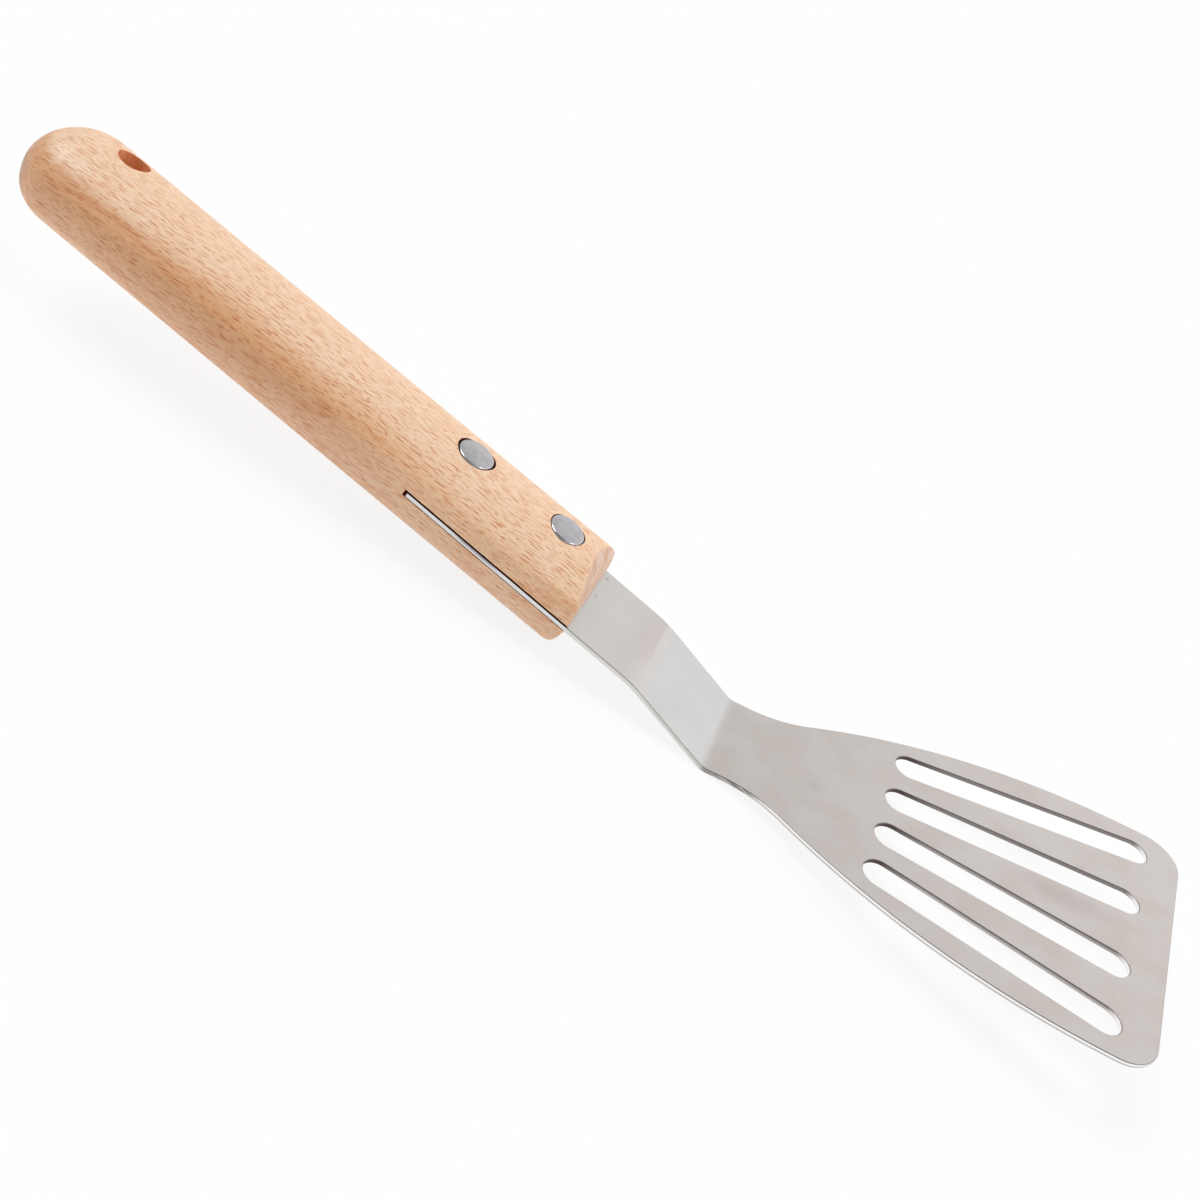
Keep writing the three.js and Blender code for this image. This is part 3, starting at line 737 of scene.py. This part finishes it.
def steelFinish():
    material, start, spot = newFinish("stainless")
    x, y, _ = split(spot)
    zone = steelZone
    mottle = cloud(spot, steel["mottleSize"], 3.0)
    fine = cloud(spot, steel["fineSize"], 2.0)
    tone = blendColour(step(x, *zone["neck"]), linear(*steel["tang"]), linear(*steel["neck"]))
    tone = blendColour(step(x, *zone["blade"]), tone, linear(*steel["blade"]))
    # painted shade: the blade is a touch darker near the heel than towards its front
    tone = blendColour(step(x, *zone["bladeEnd"]), tone, linear(*steel["bladeEnd"]))
    rosy = step(mottle, 0.35, 0.7) * (step(x, *zone["rosy"]) * 0.4 + 0.2)
    tone = blendColour(rosy, tone, linear(*steel["rosy"]), "MULTIPLY")
    tone = blendColour(step(fine, 0.45, 0.75) * 0.12, tone, linear(*steel["fine"]))
    # painted shade of a sharp first bend: darkens towards the bend line and ends there, fading towards -Y
    creaseShade = step(x, *zone["creaseShade"]) * (1.0 - step(x, *zone["creaseEnd"])) * step(y, -12.0, 8.0)
    tone = blendColour(creaseShade * 0.4, tone, linear(*steel["creaseShade"]))
    tone = blendColour((1.0 - step(x, *zone["byHandleEnd"])) * 0.6, tone, linear(*steel["byHandle"]))
    for spotX, spotY, length, width, share in steel["scuffs"]:
        reach = (((x - spotX) / length) ** 2.0 + ((y - spotY) / width) ** 2.0) ** 0.5 + mottle * 0.8
        tone = blendColour((1.0 - step(reach, 0.5, 1.5)) * share, tone, linear(*steel["stain"]))
    attribute = {name: start.node("ShaderNodeAttribute", {"attribute_name": name}, {}, "Fac")
                 for name in ("slotWall", "slotRear", "slotFrontHighlight", "slotPale", "outerWall", "brokenEdge", "low")}
    # painted shade and highlight on the slots' walls, partly the cut edge's own darker tone: dark at the rear ends,
    # grey along the runs with paler lower halves, white round the front ends
    slot = blendColour(attribute["slotPale"] * attribute["low"], linear(*steel["slotRun"]), linear(*steel["slotLow"]))
    slot = blendColour(attribute["slotRear"], slot, linear(*steel["slotRear"]))
    tone = blendColour(attribute["slotWall"], tone, slot)
    tone = blendColour(attribute["slotFrontHighlight"], tone, linear(*steel["slotFrontHighlight"]))
    # the sheared outer wall, its brightness painted as the light it reflects: grey in the kerf and on the tang,
    # darker on the neck, bright along the blade, with another tone on its lower half
    wall = blendColour(step(x, *zone["tangWall"]), linear(*steel["kerfWall"]), linear(*steel["tangWall"]))
    wall = blendColour(step(x, *zone["neckWall"]), wall, linear(*steel["neckWall"]))
    wall = blendColour(step(x, *zone["bladeWall"]), wall, linear(*steel["bladeWall"]))
    low = blendColour(step(x, *zone["bladeWall"]), linear(*steel["wallLow"]), linear(*steel["bladeLow"]))
    wall = blendColour(step(attribute["low"], 0.25, 0.95), wall, low)
    tone = blendColour(attribute["outerWall"], tone, wall)
    # painted shade: a grey streak along the top of the tang's wall, half way down the kerf
    streak = (1.0 - step(abs(x + 25.5), 3.0, 8.0)) * (1.0 - step(attribute["low"], 0.3, 0.65))
    streak = streak * attribute["outerWall"]
    tone = blendColour(streak * 0.75, tone, linear(*steel["kerfShade"]))
    # torn strip of the sheared edge where the blade begins
    torn = step(x, *zone["torn"]) * (1.0 - step(x, *zone["tornEnd"])) * attribute["outerWall"]
    torn = torn * step(cloud(spot, (5.0, 5.0, 0.25), 2.0), 0.35, 0.55)
    tone = blendColour(torn * 0.9, tone, linear(*steel["torn"]))
    # painted shade: the broken edges are darkened into a thin dark line, fainter along the tang and neck
    shade = 0.85 - step(x, -2.0, 4.0) * (1.0 - step(x, 40.0, 46.0)) * 0.45
    tone = blendColour(attribute["brokenEdge"] * shade, tone, linear(*steel["brokenEdge"]))
    facingZ = split(start.node("ShaderNodeNewGeometry", {}, {}, "Normal"))[2]
    inKerf = (1.0 - step(x, -1.0, 0.5)) * step(facingZ, 0.25, 0.6)  # painted shade: the tang's top inside the kerf, darkened to a dark maroon
    tone = blendColour(inKerf, tone, linear(*steel["kerfEdgeShade"]))
    bump = start.node("ShaderNodeBump", {}, {"Height": fine, "Strength": 0.08, "Distance": 0.0001}, "Normal")
    roughness = steel["roughness"] + mottle * 0.08 - 0.04
    closeFinish(start, {"Base Color": tone, "Roughness": roughness, "Metallic": 1.0, "Normal": bump})
    return material


def rivetFinish():
    material, start, spot = newFinish("rivetMetal")
    mottle = cloud(spot, rivetMetal["mottleSize"], 3.0)
    patches = step(mottle, 0.35, 0.7) * 0.8
    tone = blendColour(patches, linear(*rivetMetal["colour"]), linear(*rivetMetal["mottle"]))
    facingZ = split(start.node("ShaderNodeNewGeometry", {}, {}, "Normal"))[2]
    rim = 1.0 - step(abs(facingZ), 0.75, 0.96)  # smoother round the rim
    roughness = rivetMetal["roughness"] + mottle * 0.1 - rim * 0.22
    closeFinish(start, {"Base Color": tone, "Roughness": roughness, "Metallic": 1.0})
    return material


def dress(piece, material, slot, *nodes):
    piece.data.materials.clear()
    piece.data.materials.append(material)
    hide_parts(*nodes)
    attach(piece, "root")


dress(handle, beechFinish(), "beech", "handle")
dress(blade, steelFinish(), "stainless", "blade")
rivetMaterial = rivetFinish()
for name, (upper, lower) in rivets.items():
    dress(upper, rivetMaterial, "rivet", name + "_rivet_tube")
    dress(lower, rivetMaterial, "rivet", name + "_rivet_pin")
print("finishes set")


# Floor and light

# turns and spreads in degrees; floorRim is radius and height in metres, and the floor's edge sweeps up
studio = dict(
    floor=(250, 250, 250), floorGlow=0.86, floorColumns=96,
    floorRim=((0, 0), (3, 0), (4, 0.05), (5, 0.22), (6, 0.6), (7, 1.2)),
    sunTurn=(0.0, -36.0, 0.0), sunStrength=1.69, sunSpread=32.0,
    rightTurn=(0.0, 47.0, 0.0), rightStrength=0.4, rightSpread=14.0,
    sky=0.92, skyX=0.7, skyY=0.6, skyZ=-0.55, skyLeast=0.12)

angle = np.linspace(0, 2 * np.pi, studio["floorColumns"], endpoint=False)
radius, height = np.array(studio["floorRim"], float).T
floorPoints = np.stack([np.outer(radius, np.cos(angle)), np.outer(radius, np.sin(angle)),
                        np.repeat(height[:, None], len(angle), 1)], -1)
floorMesh = bpy.data.meshes.new("floor")
floorMesh.from_pydata(floorPoints.reshape(-1, 3).tolist(), [], ringFaces(len(radius), len(angle)).tolist())
floorMesh.shade_smooth()
floorPlate = bpy.data.objects.new("floor", floorMesh)
scene.collection.objects.link(floorPlate)
closePoles(floorPlate)
floorMaterial, floorStart, _ = newFinish("paleFloor")
ray = {way: floorStart.node("ShaderNodeLightPath", {}, {}, way) for way in
       ("Is Camera Ray", "Is Glossy Ray", "Is Transmission Ray")}
seen = ray["Is Camera Ray"] + ray["Is Glossy Ray"] + ray["Is Transmission Ray"]
matt = floorStart.node("ShaderNodeBsdfDiffuse", {}, {"Color": linear(*studio["floor"])})
white = floorStart.node("ShaderNodeEmission", {}, {"Strength": 1.0})
floorStart.node("ShaderNodeOutputMaterial", {}, {
    "Surface": floorStart.node("ShaderNodeMixShader", {}, {0: seen * studio["floorGlow"], 1: matt, 2: white})})
floorMesh.materials.append(floorMaterial)

for name in ("sun", "right"):  # the main light from the butt's side, and a weak narrow one from the blade's
    lamp = bpy.data.objects.new(name, bpy.data.lights.new(name, "SUN"))
    lamp.data.energy = studio[name + "Strength"]
    lamp.data.angle = np.radians(studio[name + "Spread"])
    lamp.rotation_euler = np.radians(studio[name + "Turn"])
    scene.collection.objects.link(lamp)

world = bpy.data.worlds.new("studio")
world.use_nodes = True
world.node_tree.nodes.clear()
sky = Wire(world.node_tree)
skyX, skyY, skyZ = split(sky.node("ShaderNodeTexCoord", {}, {}, "Generated"))
glow = skyX * studio["skyX"] + skyY * studio["skyY"] + skyZ * studio["skyZ"] + studio["sky"]
glow = sky.math("MAXIMUM", glow, studio["skyLeast"])
background = sky.node("ShaderNodeBackground", {}, {"Strength": glow})
sky.node("ShaderNodeOutputWorld", {}, {"Surface": background})
scene.world = world
print("floor and light set")
